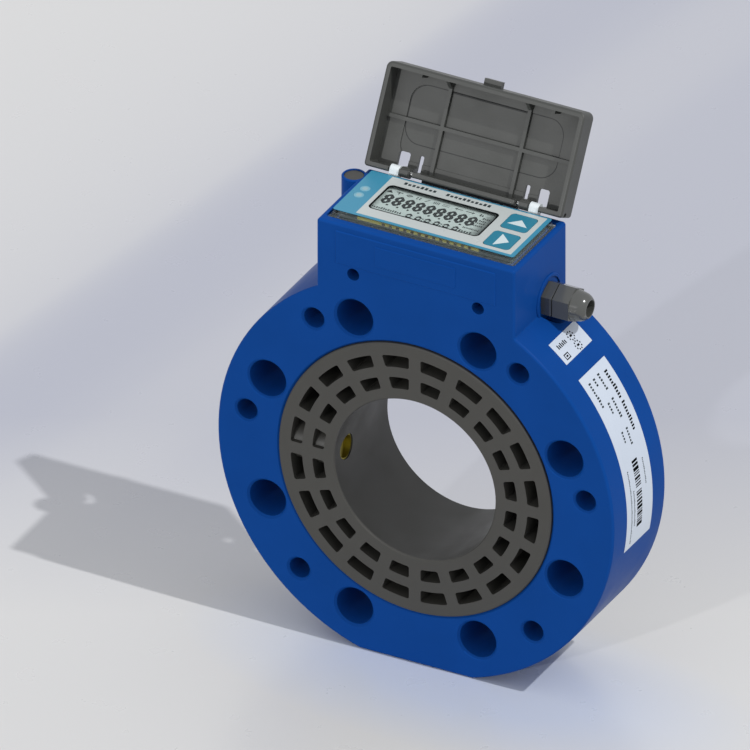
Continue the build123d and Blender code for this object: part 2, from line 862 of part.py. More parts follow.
def lcd_backlight():
    """Yellow-green light plate behind the display glass."""
    return block(
        backlight_left,
        backlight_right,
        backlight_front,
        backlight_rear,
        board_top,
        board_top + backlight_height,
    )


def lcd_glass():
    """The display glass itself."""
    low = board_top + backlight_height
    return block(backlight_left, backlight_right, lcd_front, lcd_rear, low, low + lcd_height)


def lcd_pins():
    """The row of pins along the front edge of the display."""
    gap = seal_fit
    return Compound(
        children=[
            block(
                pin_left + pin_pitch * i - pin_width / 2,
                pin_left + pin_pitch * i + pin_width / 2,
                backlight_front - gap - pin_depth,
                backlight_front - gap,
                board_top,
                board_top + backlight_height,
            )
            for i in range(pin_count)
            if pin_left + pin_pitch * i < backlight_right
        ]
    )


def lid_block(x0, x1, t0, t1, d0, d1):
    """A box in the closed lid: t goes from the lid's rear face to its front, d from its rim up."""
    return block(x0, x1, lid_rear - t1, lid_rear - t0, lid_rim + d0, lid_rim + d1)


def lid_ribs():
    """The low ribs on the inside of the lid, with gussets where the long ones meet the walls."""
    floor = lid_depth - lid_plate
    half = lid_width / 2 - lid_wall / 2
    ribs = lid_block(
        -half, half, (lid_length - lid_rib_width) / 2, (lid_length + lid_rib_width) / 2, floor - lid_rib_height, floor
    )
    for side in (-1, 1):
        x0, x1 = side * lid_rib_x - lid_rib_width / 2, side * lid_rib_x + lid_rib_width / 2
        ribs += lid_block(x0, x1, lid_wall / 2, lid_length - lid_wall / 2, floor - lid_rib_height, floor)
        profile = make_face(
            Polyline(
                (lid_rear - lid_length + lid_wall / 2, lid_rim + lid_wall),
                (lid_rear - lid_length + lid_wall + 0.4, lid_rim + lid_wall),
                (lid_rear - lid_length + lid_wall + lid_gusset, lid_rim + floor),
                (lid_rear - lid_length + lid_wall / 2, lid_rim + floor),
                close=True,
            )
        )
        ribs += sideways(profile, x0, x1)
        nub = side * lid_nub_x
        ribs += lid_block(
            nub - lid_nub_size / 2,
            nub + lid_nub_size / 2,
            lid_length - lid_wall - lid_nub_size,
            lid_length - lid_wall / 2,
            lid_wall,
            floor,
        )
    return ribs


def closed_lid():
    """The lid as it lies when it is shut: a shallow tray turned over, with its hinge knuckles."""
    half = lid_width / 2
    front_y = lid_rear - lid_length
    outline = Pos(0, (front_y + lid_rear) / 2) * Rectangle(lid_width, lid_length)
    corners = outline.vertices().sort_by(Axis.Y)
    outline = fillet(corners[:2], lid_corner)
    outline = fillet(outline.vertices().sort_by(Axis.Y)[-2:], lid_rear_corner)
    lid = upright(outline, lid_rim, lid_rim + lid_depth)
    lid = fillet(lid.edges().group_by(Axis.Z)[-1], lid_round)
    lid = fillet(lid.edges().group_by(Axis.Z)[0], lid_round)
    inner = rounded_rectangle(
        -half + lid_wall, half - lid_wall, front_y + lid_wall, lid_rear - lid_wall, lid_inner_corner
    )
    lid -= upright(inner, lid_rim - 1, lid_rim + lid_depth - lid_plate)
    panel_half = lid_panel_width / 2
    low, high = lid_panel_margins
    panel = rounded_rectangle(-panel_half, panel_half, lid_rear - high, lid_rear - low, lid_panel_corner)
    floor = lid_rim + lid_depth - lid_plate
    lid -= upright(panel, floor - 1, floor + lid_panel_step)
    lid += lid_ribs()
    lid += lid_block(
        -lid_tab_width / 2,
        lid_tab_width / 2,
        lid_length - lid_wall / 2,
        lid_length + lid_tab_reach,
        lid_tab_from,
        lid_tab_to,
    )
    lid += lid_block(
        -lid_lip_half, lid_lip_half, -lid_lip_reach, lid_round, lid_depth - lid_lip_thickness, lid_depth
    )
    for side in (-1, 1):
        for span in (outer_ear, inner_ear):
            x0, x1 = sorted((side * (span[0] - ear_window), side * (span[1] + ear_window)))
            corner = min(ear_window_corner, (x1 - x0) / 3)
            gap = rounded_rectangle(x0, x1, lid_rear - window_reach, lid_rear + lid_wall, corner)
            lid -= upright(gap, lid_rim - 1, lid_rim + lid_depth + 1)
        x0, x1 = sorted((side * knuckle[0], side * knuckle[1]))
        lid += bar_x(knuckle_radius, x0, x1, hinge_y, hinge_z)
        lid += lid_block(x0, x1, lid_round, hinge_back + knuckle_radius, hinge_up, lid_depth - lid_plate)
    return lid - bar_x(pin_radius + pin_fit, -half, half, hinge_y, hinge_z)


def lid():
    """The lid swung open about its hinge pins, as far as it goes."""
    swing = Pos(0, hinge_y, hinge_z) * Rot(-lid_open_angle, 0, 0) * Pos(0, -hinge_y, -hinge_z)
    return swing * closed_lid()


def hinge_pins():
    """Two steel pins, each through the cover's two ears and the lid's knuckle between them."""
    return Compound(
        children=[
            bar_x(pin_radius, *sorted((side * inner_ear[0], side * outer_ear[1])), hinge_y, hinge_z)
            for side in (-1, 1)
        ]
    )


gland_base_start = housing_side - gland_recess_depth + gland_washer
gland_nut_start = gland_base_start + gland_base + gland_neck
gland_end = gland_nut_start + gland_nut_length
gland_shoulder = gland_end - 3.0
gland_thread_end = gland_shoulder - gland_seal_length


def hexagon_x(flats, x0, x1):
    """A hexagonal bar along the gland's axis, with one corner up."""
    profile = Pos(gland_y, gland_z) * RegularPolygon(flats / 2, 6, major_radius=False, rotation=30)
    return sideways(profile, x0, x1)


def gland_body():
    """Hexagon, the thread into the housing and the neck that the dome nut screws on."""
    piece = bar_x(gland_thread_radius, cavity_width / 2, gland_base_start, gland_y, gland_z)
    piece += hexagon_x(gland_flats, gland_base_start, gland_base_start + gland_base)
    piece += bar_x(gland_thread_radius, gland_base_start, gland_thread_end, gland_y, gland_z)
    return piece - bar_x(gland_bore_radius, 0, body_radius, gland_y, gland_z)


def gland_washer_ring():
    """Rubber washer under the gland's hexagon."""
    ring = bar_x(gland_flats / 2, gland_base_start - gland_washer, gland_base_start, gland_y, gland_z)
    return ring - bar_x(gland_thread_radius + thread_fit, 0, body_radius, gland_y, gland_z)


def gland_nut():
    """Dome nut: hexagon, then a round dome with the cable's mouth in its end."""
    hexagon = hexagon_x(gland_flats, gland_nut_start, gland_nut_start + gland_nut_hex)
    dome_start = gland_nut_start + gland_nut_hex
    turned_form = make_face(
        [
            Line((dome_start, 0), (dome_start, gland_flats / 2 - 0.2)),
            Line((dome_start, gland_flats / 2 - 0.2), (gland_end - 3.5, gland_flats / 2 - 0.9)),
            ThreePointArc(
                (gland_end - 3.5, gland_flats / 2 - 0.9),
                (gland_end - 0.9, gland_flats / 2 - 2.1),
                (gland_end, gland_mouth_radius + 0.6),
            ),
            Line((gland_end, gland_mouth_radius + 0.6), (gland_end, 0)),
            Line((gland_end, 0), (dome_start, 0)),
        ]
    )
    dome = Pos(0, gland_y, gland_z) * revolve(turned_form, Axis.X, 360)
    envelope = hexagon + dome
    inside = bar_x(gland_thread_radius + thread_fit, 0, gland_shoulder, gland_y, gland_z)
    return envelope - inside - bar_x(gland_mouth_radius, 0, body_radius, gland_y, gland_z)


def gland_seal():
    """Rubber sleeve that the dome nut squeezes on to a cable."""
    sleeve = bar_x(gland_thread_radius, gland_thread_end, gland_shoulder, gland_y, gland_z)
    return sleeve - bar_x(gland_seal_bore, 0, body_radius, gland_y, gland_z)


def post_plug():
    """Dark plug in the top of the post."""
    top = housing_top - plug_recess
    plug = bar_z(plug_radius, top - plug_length, top, post_x, post_y)
    return chamfer(plug.edges().group_by(Axis.Z)[-1], plug_recess / 2)


def rim_plate(angles):
    """A thin curved plate in its pocket of the rim."""
    return across(sector(body_radius - label_thickness, body_radius, *angles), label_front, label_rear)


def all_nodes():
    """Each node's name and solid."""
    nodes = {
        "body_casting": body_casting(),
        "rear_cover": rear_cover(),
        "measuring_tube": measuring_tube(),
        "front_tube_seal": tube_seal(-1),
        "rear_tube_seal": tube_seal(1),
        "body_screws": clamping_screws(
            screw_places(), screw_head_radius, screw_head_height, screw_radius, screw_radius * 0.95
        ),
        "housing_screws": clamping_screws(
            small_screw_places(),
            small_head_radius,
            small_head_height,
            small_screw_radius,
            small_screw_radius * 0.9,
        ),
        "housing_seal": housing_seal(),
        "battery_cradle": battery_cradle(),
        "battery_cells": battery_cells(),
        "battery_pad": battery_pad(),
        "main_board": main_board(),
        "main_board_screws": board_screws(),
        "board_link": board_link(),
        "display_board": display_board(),
        "display_board_screws": display_board_screws(),
        "display_gasket": display_gasket(),
        "display_cover": display_cover(),
        "overlay_film": overlay_film(),
        "light_ports": light_ports(),
        "key_domes": key_domes(),
        "lcd_backlight": lcd_backlight(),
        "lcd_glass": lcd_glass(),
        "lcd_pins": lcd_pins(),
        "lid": lid(),
        "hinge_pins": hinge_pins(),
        "gland_body": gland_body(),
        "gland_washer": gland_washer_ring(),
        "gland_nut": gland_nut(),
        "gland_seal": gland_seal(),
        "post_plug": post_plug(),
        "rating_plate": rim_plate(rating_label_angles),
        "small_plate": rim_plate(small_label_angles),
    }
    for word, side in (("left", -1), ("right", 1)):
        nodes[word + "_transducer"] = transducer(side)
        nodes[word + "_transducer_seal"] = transducer_seal(side)
        nodes[word + "_transducer_cap"] = transducer_cap(side)
    for name, y in key_ys.items():
        nodes[name] = key(y)
    return nodes


os.makedirs("parts", exist_ok=True)
for node_name, solid in all_nodes().items():
    export_step(solid, f"parts/{node_name}.step")
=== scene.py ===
"""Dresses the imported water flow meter: its paint and plastics, the display's print, the plates in the
rim, the floor, the lamps and the camera."""

import json
from math import cos, degrees, radians, sin

import bpy
import numpy as np
from mathutils import Matrix, Vector


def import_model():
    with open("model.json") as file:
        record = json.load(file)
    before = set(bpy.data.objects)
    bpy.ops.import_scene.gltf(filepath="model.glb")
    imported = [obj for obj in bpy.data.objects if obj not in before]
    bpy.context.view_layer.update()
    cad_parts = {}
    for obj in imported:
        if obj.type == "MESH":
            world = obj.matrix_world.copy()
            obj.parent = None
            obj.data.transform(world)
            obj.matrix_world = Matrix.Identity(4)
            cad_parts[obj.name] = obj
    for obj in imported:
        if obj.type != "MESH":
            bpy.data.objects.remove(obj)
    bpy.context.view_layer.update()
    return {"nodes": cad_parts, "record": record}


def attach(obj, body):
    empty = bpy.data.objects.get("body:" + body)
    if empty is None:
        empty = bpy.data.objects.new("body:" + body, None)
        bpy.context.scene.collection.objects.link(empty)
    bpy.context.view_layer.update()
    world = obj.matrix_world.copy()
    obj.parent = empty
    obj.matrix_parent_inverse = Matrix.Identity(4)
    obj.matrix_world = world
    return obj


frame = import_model()
nodes = frame["nodes"]

# Sizes shared with the solids, in millimetres
MM = 0.001
BASE_Z = -94.4
BODY_RADIUS = 98.5
GLASS_TOP = 122.4
FILM_TOP = 122.6
KEY_TOP = 122.65
LCD_TOP = 121.1
WINDOW = (-32.2, 22.9, -9.6, 12.7)  # left, right, front and rear of the film's window
WINDOW_CORNER = 2.5
FILM_FIELD = (-34.2, 42.8, -15.9, 18.7)  # the film's pale part
KEY_X = 33.6
KEY_YS = {"up_key": 9.5, "enter_key": -6.9}
PORT_X = -40.1
PORT_YS = (-1.9, 4.1)
LID_REAR = 24.3  # of the shut lid
LID_FLOOR = 129.2
LID_ANGLE = 118.7
HINGE = (23.03, 123.62)

# Clouds of colour and gloss, and the grain of a surface
CLOUD_SPAN = (0.3, 0.7)  # the middle part of a noise, which is stretched over the whole change
CLOUD_DETAIL = 5.0
GRAIN_DETAIL = 3.0
LEAST_ROUGHNESS = 0.02

# The clear cover: how dense its walls, its plate and its hinge ears look, and where they change. The ears'
# density and near-white colour are a painted highlight.
WALL_DENSITY = 0.09
PLATE_DENSITY = 0.004
EAR_HIGHLIGHT_DENSITY = 0.85
WALL_TOP = (GLASS_TOP - 1.3, GLASS_TOP - 0.9)
EAR_SIDE = (29.0, 30.0)  # from the middle, to both sides
EAR_FRONT = (19.8, 20.2)

# The painted shadow in the display along its rear and right edges, as the window's edge would cast it:
# where it sets in and where it is full
SHADE_REAR = (10.6, 14.4)
SHADE_RIGHT = (15.6, 21.8)


def linear(red, green, blue):
    """A screen colour of three numbers up to 255, as the linear colour that a shader wants."""
    share = np.array([red, green, blue]) / 255
    low = share / 12.92
    high = ((share + 0.055) / 1.055) ** 2.4
    return [float(c) for c in np.where(share < 0.04045, low, high)] + [1.0]


# Short forms for the nodes of a material
def position(tree):
    """A point of the surface and its three coordinates, in metres."""
    place = tree.nodes.new("ShaderNodeTexCoord")
    split = tree.nodes.new("ShaderNodeSeparateXYZ")
    tree.links.new(place.outputs["Object"], split.inputs["Vector"])
    return place.outputs["Object"], split.outputs


def mapped(tree, value, span, result=(0.0, 1.0)):
    """A value that goes from one result to the other while its source crosses the span."""
    made = tree.nodes.new("ShaderNodeMapRange")
    made.inputs["From Min"].default_value, made.inputs["From Max"].default_value = span
    made.inputs["To Min"].default_value, made.inputs["To Max"].default_value = result
    tree.links.new(value, made.inputs["Value"])
    return made.outputs["Result"]


def ramp(tree, value, span, result=(0.0, 1.0)):
    """The same for a length, with its span in millimetres."""
    return mapped(tree, value, [limit * MM for limit in span], result)


def joined(tree, kind, first, second):
    """Two values brought together by one operation. The second may be a plain number."""
    made = tree.nodes.new("ShaderNodeMath")
    made.operation = kind
    tree.links.new(first, made.inputs[0])
    if isinstance(second, float):
        made.inputs[1].default_value = second
    else:
        tree.links.new(second, made.inputs[1])
    return made.outputs[0]


def between(tree, value, low, high):
    """A mask that is 1 where a length lies between two limits in millimetres."""
    above = joined(tree, "GREATER_THAN", value, low * MM)
    below = joined(tree, "LESS_THAN", value, high * MM)
    return joined(tree, "MULTIPLY", above, below)


def mixed(tree, factor, first, second):
    """One colour at factor 0 and another at 1. The first may come from other nodes."""
    made = tree.nodes.new("ShaderNodeMix")
    made.data_type = "RGBA"
    tree.links.new(factor, made.inputs["Factor"])
    if isinstance(first, list):
        made.inputs["A"].default_value = first
    else:
        tree.links.new(first, made.inputs["A"])
    made.inputs["B"].default_value = second
    return made.outputs["Result"]


def noise(tree, point, size, detail):
    """A soft noise whose clouds are about as large as the size, in millimetres."""
    made = tree.nodes.new("ShaderNodeTexNoise")
    made.inputs["Scale"].default_value = 1 / (size * MM)
    made.inputs["Detail"].default_value = detail
    tree.links.new(point, made.inputs["Vector"])
    return made.outputs["Fac"]


def finish(
    name,
    colour,
    roughness,
    metallic=0.0,
    mottle=0.06,
    mottle_size=14.0,
    grain=0.0,
    grain_size=0.6,
    gloss_change=0.08,
    specular=0.5,
):
    """A surface with clouds of slightly lighter and darker colour, clouds of gloss, and a fine grain of
    bumps. The mottle is the share by which the colour changes. Sizes and the grain's depth are in
    millimetres."""
    material = bpy.data.materials.new(name)
    material.use_nodes = True
    tree = material.node_tree
    shader = tree.nodes["Principled BSDF"]
    shader.inputs["Metallic"].default_value = metallic
    shader.inputs["Specular IOR Level"].default_value = specular
    point, _ = position(tree)
    clouds = noise(tree, point, mottle_size, CLOUD_DETAIL)
    darker = [c * (1 - mottle) for c in colour[:3]] + [1.0]
    lighter = [min(1.0, c * (1 + mottle)) for c in colour[:3]] + [1.0]
    paint = mixed(tree, mapped(tree, clouds, CLOUD_SPAN), darker, lighter)
    smoothest = max(LEAST_ROUGHNESS, roughness - gloss_change)
    gloss = mapped(tree, clouds, CLOUD_SPAN, (smoothest, roughness + gloss_change))
    tree.links.new(paint, shader.inputs["Base Color"])
    tree.links.new(gloss, shader.inputs["Roughness"])
    if grain:
        bump = tree.nodes.new("ShaderNodeBump")
        bump.inputs["Strength"].default_value = 1.0
        bump.inputs["Distance"].default_value = grain * MM
        tree.links.new(noise(tree, point, grain_size, GRAIN_DETAIL), bump.inputs["Height"])
        tree.links.new(bump.outputs["Normal"], shader.inputs["Normal"])
    return material


def film_print(ground, field, limits):
    """The overlay film: a teal ground with one pale field between limits in X and Y."""
    material = finish("film_print", ground, 0.32, mottle=0.0)
    tree = material.node_tree
    x0, x1, y0, y1 = limits
    _, spots = position(tree)
    inside = joined(tree, "MULTIPLY", between(tree, spots["X"], x0, x1), between(tree, spots["Y"], y0, y1))
    colour = mixed(tree, inside, ground, field)
    tree.links.new(colour, tree.nodes["Principled BSDF"].inputs["Base Color"])
    return material


def clear_cover(colour, painted_highlight):
    """Clear plastic: faint over the display, denser in the walls, which are seen along, and dense and near
    white in the ears as a painted highlight; the ears are the part far to the rear and far from the
    middle, by the square of X."""
    material = finish("clear_plastic", colour, 0.08, mottle=0.02, gloss_change=0.03)
    tree = material.node_tree
    _, spots = position(tree)
    body = ramp(tree, spots["Z"], WALL_TOP, (WALL_DENSITY, PLATE_DENSITY))
    squared = joined(tree, "MULTIPLY", spots["X"], spots["X"])
    aside = mapped(tree, squared, [(limit * MM) ** 2 for limit in EAR_SIDE])
    behind = ramp(tree, spots["Y"], EAR_FRONT, (0.0, EAR_HIGHLIGHT_DENSITY))
    # Where the ears are, for their painted highlight: denser and near white
    ears = joined(tree, "MULTIPLY", behind, aside)
    shader = tree.nodes["Principled BSDF"]
    tree.links.new(joined(tree, "ADD", body, ears), shader.inputs["Alpha"])
    tree.links.new(mixed(tree, ears, colour, painted_highlight), shader.inputs["Base Color"])
    return material


def display_with_painted_shadow(ground, shade):
    """The display's ground, with a soft painted shadow along its rear and right edges, as the window's
    edge would cast it.
    """
    material = finish("lcd_glass", ground, 0.25, mottle=0.02)
    tree = material.node_tree
    _, spots = position(tree)
    # Masks of the painted shadow along the rear and the right edge
    rear = ramp(tree, spots["Y"], SHADE_REAR)
    right = ramp(tree, spots["X"], SHADE_RIGHT)
    colour = mixed(tree, joined(tree, "MAXIMUM", rear, right), ground, shade)
    tree.links.new(colour, tree.nodes["Principled BSDF"].inputs["Base Color"])
    return material


def moulded(name, colour):
    """Plain moulded plastic with a fine grain."""
    return finish(name, colour, 0.45, mottle=0.05, grain=0.012, grain_size=0.5)


# A finish for each material slot
BLUE = linear(14, 66, 138)
finishes = {
    "blue_paint": finish(
        "blue_paint", BLUE, 0.35, mottle=0.05, mottle_size=30, grain=0.02, grain_size=1.1, specular=0.03
    ),
    "dark_plastic": moulded("dark_plastic", linear(60, 59, 55)),
    "lid_plastic": moulded("lid_plastic", linear(65, 66, 63)),
    "gland_plastic": finish(
        "gland_plastic", linear(76, 77, 74), 0.16, mottle=0.04, gloss_change=0.04, specular=0.7
    ),
    # The second colour is the ears' painted highlight
    "clear_plastic": clear_cover(linear(222, 234, 233), linear(238, 244, 246)),
    "film": film_print(linear(60, 136, 165), linear(186, 192, 190), FILM_FIELD),
    "key_teal": finish("key_teal", linear(42, 122, 146), 0.35, mottle=0.02),
    "light_port": finish("light_port", linear(112, 166, 184), 0.3, mottle=0.02),
    # The display's second colour is its painted shadow along the rear and right edges
    "lcd_glass": display_with_painted_shadow(linear(178, 192, 187), linear(18, 24, 24)),
    "lcd_light": finish("lcd_light", linear(190, 184, 92), 0.4, mottle=0.05),
    "brass": finish("brass", linear(168, 156, 70), 0.42, metallic=1.0, grain=0.004),
    "steel": finish("steel", linear(196, 196, 194), 0.3, metallic=1.0, mottle=0.05),
    "rubber": finish("rubber", linear(38, 38, 38), 0.75, mottle=0.1, grain=0.02),
    "circuit_board": finish("circuit_board", linear(30, 96, 52), 0.45, mottle=0.1),
    "cell_wrap": finish("cell_wrap", linear(184, 190, 186), 0.35, mottle=0.03),
    "cradle_plastic": finish("cradle_plastic", linear(52, 52, 52), 0.6, mottle=0.05),
    "foam": finish("foam", linear(70, 70, 72), 0.9, mottle=0.15, grain=0.1, grain_size=1.0),
    "plate": finish("plate", linear(196, 205, 217), 0.35, mottle=0.02),
}

# Finishes of the print, and of two nodes whose slot is shared with others
BLACK = finish("print_black", linear(14, 18, 19), 0.6, mottle=0.02, specular=0.0)
GREY = finish("print_grey", linear(50, 58, 60), 0.6, mottle=0.02, specular=0.0)
PALE = finish("print_pale", linear(200, 214, 216), 0.35, mottle=0.02)
PORT_TEAL = finish("port_teal", linear(140, 172, 180), 0.35, mottle=0.02)
# Painted shade along the step inside the lid
STEP_SHADE = finish("painted_step_shade", linear(34, 35, 34), 0.6, mottle=0.02)
DARK_BOARD = finish("display_board", linear(66, 80, 74), 0.5, mottle=0.05)
DULL_PIN = finish("pin_shade", linear(88, 78, 48), 0.4, mottle=0.05)
OWN_FINISHES = {"lcd_pins": DULL_PIN, "display_board": DARK_BOARD}


# The solids
WELD_REACH = 2e-6
SHARP_ANGLE = 32  # an edge that turns further stays a corner


def round_off(node):
    """Joins the node's loose triangles, keeps its corners and shades its round faces round."""
    weld = node.modifiers.new("join", "WELD")
    weld.merge_threshold = WELD_REACH
    split = node.modifiers.new("corners", "EDGE_SPLIT")
    split.split_angle = radians(SHARP_ANGLE)
    shade = node.modifiers.new("shade", "WEIGHTED_NORMAL")
    shade.keep_sharp = True
    if "custom_normal" in node.data.attributes:
        node.data.attributes.remove(node.data.attributes["custom_normal"])
    node.data.polygons.foreach_set("use_smooth", np.ones(len(node.data.polygons), bool))


slots = {part["node"]: part["material_slot"] for part in frame["record"]["subparts"]}
for name, node in nodes.items():
    node.data.materials.clear()
    node.data.materials.append(OWN_FINISHES.get(name, finishes[slots[name]]))
    round_off(node)


# Thin plates of print, in millimetres
PRINT = 0.02  # thickness


def piece(name, points, faces, body, material):
    """A mesh from points in millimetres, on a CAD body."""
    mesh = bpy.data.meshes.new(name)
    mesh.from_pydata((np.asarray(points, float) * MM).tolist(), [], faces)
    mesh.materials.append(material)
    mesh.update()
    made = bpy.data.objects.new(name, mesh)
    bpy.context.scene.collection.objects.link(made)
    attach(made, body)
    return made


def plates(outlines, z0, z1):
    """Thin plates: each outline at z0 and again at z1, closed at both ends and all round."""
    points, faces, start = [], [], 0
    for outline in outlines:
        count = len(outline)
        points += [np.column_stack([outline, np.full(count, z)]) for z in (z0, z1)]
        low = np.arange(count) + start
        high = low + count
        after = np.roll(low, -1)
        faces += [low[::-1].tolist(), high.tolist()]
        faces += np.column_stack([low, after, after + count, high]).tolist()
        start += 2 * count
    return np.concatenate(points), faces


def printed(name, outlines, ground, body, material):
    """Print on a level ground."""
    points, faces = plates(outlines, ground, ground + PRINT)
    return piece(name, points, faces, body, material)


def box_outline(x0, x1, y0, y1):
    """Four corners of a rectangle, anticlockwise."""
    return np.array([(x0, y0), (x1, y0), (x1, y1), (x0, y1)])


def rounded_outline(x0, x1, y0, y1, corner, steps=8):
    """A rectangle whose corners are quarter circles, anticlockwise: one arc, turned by a quarter for each
    next corner."""
    turn = np.radians(np.linspace(0, 90, steps))
    arc = np.column_stack([np.cos(turn), np.sin(turn)]) * corner
    quarter = np.array([[0, -1], [1, 0]])
    centres = [(x1 - corner, y1 - corner), (x0 + corner, y1 - corner)]
    centres += [(x0 + corner, y0 + corner), (x1 - corner, y0 + corner)]
    parts = []
    for centre in centres:
        parts.append(arc + centre)
        arc = arc @ quarter.T
    return np.concatenate(parts)


def inset(limits, width):
    """Left, right, front and rear limits, moved inwards by a width."""
    x0, x1, y0, y1 = limits
    return x0 + width, x1 - width, y0 + width, y1 - width


def ring(limits, corner, width):
    """A line round a rounded rectangle: four-sided plates between two outlines of as many points."""
    outer = rounded_outline(*limits, corner)
    inner = rounded_outline(*inset(limits, width), corner - width)
    return [np.array(q) for q in zip(outer, np.roll(outer, -1, 0), np.roll(inner, -1, 0), inner)]


# The display's figures
FIGURES = {"count": 9, "left": -30.9, "front": -0.95, "pitch": 5.19}
FIGURE_SIZE = (4.4, 8.4, 1.75)  # width, height and stroke
POINT = (3.9, 4.9, -1.9, -0.8)  # left, right, front and rear, from the left end of its figure
NOUGHTS = {"count": 6, "left": -15.1, "front": -7.5, "pitch": 4.6}
NOUGHT_SIZE = (3.2, 4.1, 1.3)
COLON_AFTER = (1, 3)
COLON_LEFT = 3.5
COLON_DOT = 0.7
COLON_FRONTS = (-6.9, -5.3)
LEAN = 0.04  # of a figure to the right, for each millimetre of its height


def level_bar(x0, x1, y, half):
    """A bar along X with a point at each end."""
    front = [(x0, y), (x0 + half, y - half), (x1 - half, y - half)]
    rear = [(x1, y), (x1 - half, y + half), (x0 + half, y + half)]
    return np.array(front + rear)


def upright_bar(x, y0, y1, half):
    """A bar along Y with a point at each end."""
    right = [(x, y0), (x + half, y0 + half), (x + half, y1 - half)]
    left = [(x, y1), (x - half, y1 - half), (x - half, y0 + half)]
    return np.array(right + left)


def segments(width, height, stroke, lit="abcdefg"):
    """The bars of a seven-segment figure whose lower left corner is at the origin. They meet point to
    point in the middles of the strokes."""
    half = stroke / 2
    left, right = half, width - half
    low, middle, high = half, height / 2, height - half
    bars = {
        "a": level_bar(left, right, high, half),
        "b": upright_bar(right, middle, high, half),
        "c": upright_bar(right, low, middle, half),
        "d": level_bar(left, right, low, half),
        "e": upright_bar(left, low, middle, half),
        "f": upright_bar(left, middle, high, half),
        "g": level_bar(left, right, middle, half),
    }
    return [bars[letter] for letter in lit]


def slanted(outlines, x, y):
    """Outlines leant to the right and set down at a place."""
    return [np.column_stack([p[:, 0] + LEAN * p[:, 1] + x, p[:, 1] + y]) for p in outlines]


def big_figures():
    """Figures with every bar lit, and a point after all but the last."""
    shapes = []
    x0, x1, y0, y1 = POINT
    for i in range(FIGURES["count"]):
        x = FIGURES["left"] + FIGURES["pitch"] * i
        shapes += slanted(segments(*FIGURE_SIZE), x, FIGURES["front"])
        if i < FIGURES["count"] - 1:
            shapes.append(box_outline(x + x0, x + x1, y0, y1))
    return shapes


def small_figures():
    """Small noughts in pairs, with two dots between the pairs."""
    shapes = []
    for i in range(NOUGHTS["count"]):
        x = NOUGHTS["left"] + NOUGHTS["pitch"] * i
        shapes += slanted(segments(*NOUGHT_SIZE, "abcdef"), x, NOUGHTS["front"])
        if i in COLON_AFTER:
            dot = x + COLON_LEFT
            shapes += [box_outline(dot, dot + COLON_DOT, y, y + COLON_DOT) for y in COLON_FRONTS]
    return shapes


# The display's small signs and rows of bars
SIGN_Y = 9.8
BAR_HEIGHTS = (1.0, 0.72, 0.86, 0.72, 1.0)  # shares of a row's height, over and over
MARK_ROWS = (  # left end, foot, length, height, pitch, and the share of the pitch that is filled
    (14.0, 8.9, 2.4, 1.9, 1.1, 0.62),
    (16.6, 7.0, 4.2, 1.4, 0.95, 0.62),
    (15.8, 4.8, 4.6, 1.4, 0.95, 0.62),
    (15.0, 2.8, 5.0, 1.4, 0.95, 0.62),
    (14.2, 0.4, 6.0, 1.4, 0.95, 0.62),
    (12.0, -3.2, 8.6, 1.2, 0.8, 0.62),
    (11.6, -6.6, 7.0, 1.6, 1.3, 0.62),
    (-32.0, -6.0, 15.2, 1.7, 1.15, 0.55),
)
FILM_ROWS = ((-26.9, 15.2, 18.4, 2.0, 2.05, 0.66), (-6.0, 15.2, 23.6, 2.0, 2.05, 0.66))


def arc_band(x, y, radius, width, start, stop, steps=8):
    """A curved bar, in short pieces: points of a small circle, further out and further in by half of the
    width, between two angles."""
    turn = np.radians(np.linspace(start, stop, steps))
    ray = np.column_stack([np.cos(turn), np.sin(turn)])
    outer, inner = ray * (radius + width / 2), ray * (radius - width / 2)
    corners = zip(outer, outer[1:], inner[1:], inner)
    return [np.array(four)[::-1] + (x, y) for four in corners]


def arrow(x0, x1, y):
    """A flat arrow from x0 to x1: a head 1.2 long and 1.5 wide, and a shaft 0.44 wide."""
    way = 1 if x1 > x0 else -1
    neck = x1 - way * 1.2
    head = np.array([(neck, y - 0.75), (x1, y), (neck, y + 0.75)])
    shaft = box_outline(min(x0, neck), max(x0, neck), y - 0.22, y + 0.22)
    return [head if way > 0 else head[::-1], shaft]


def signs(y):
    """The row of small signs over the figures, from left to right and in plain shapes: a triangle, a tee,
    three arcs, four dots, a slanting bar, four uprights, two level bars and two arrows."""
    shapes = [np.array([(-32.2, y - 1.2), (-28.8, y - 1.2), (-30.4, y + 0.9)])]
    shapes += [box_outline(-27.7, -24.5, y + 0.3, y + 0.9), box_outline(-26.4, -25.8, y - 1.1, y + 0.3)]
    for radius in (0.8, 1.5, 2.2):
        shapes += arc_band(-21.0, y - 1.5, radius, 0.4, 40, 140)
    for x in (-17.5, -16.1):
        shapes += [box_outline(x, x + 0.8, y + foot, y + foot + 0.7) for foot in (-1.0, 0.2)]
    shapes += [np.array([(-13.2, y - 1.1), (-12.6, y - 1.1), (-11.0, y + 0.9), (-11.6, y + 0.9)])]
    shapes += [box_outline(-9.0 + 0.8 * i, -8.6 + 0.8 * i, y - 0.9, y + 0.9) for i in range(4)]
    shapes += [box_outline(-4.6, -1.2, y + foot, y + foot + 0.3) for foot in (-0.7, 0.4)]
    return shapes + arrow(5.5, 1.5, y) + arrow(7.0, 11.5, y)


def bar_rows(rows):
    """Rows of short upright bars of changing height, in place of lines of print."""
    bars = []
    for x, y, length, height, pitch, fill in rows:
        for i in range(int(length / pitch)):
            top = y + height * BAR_HEIGHTS[i % len(BAR_HEIGHTS)]
            bars.append(box_outline(x + pitch * i, x + pitch * (i + fill), y, top))
    return bars


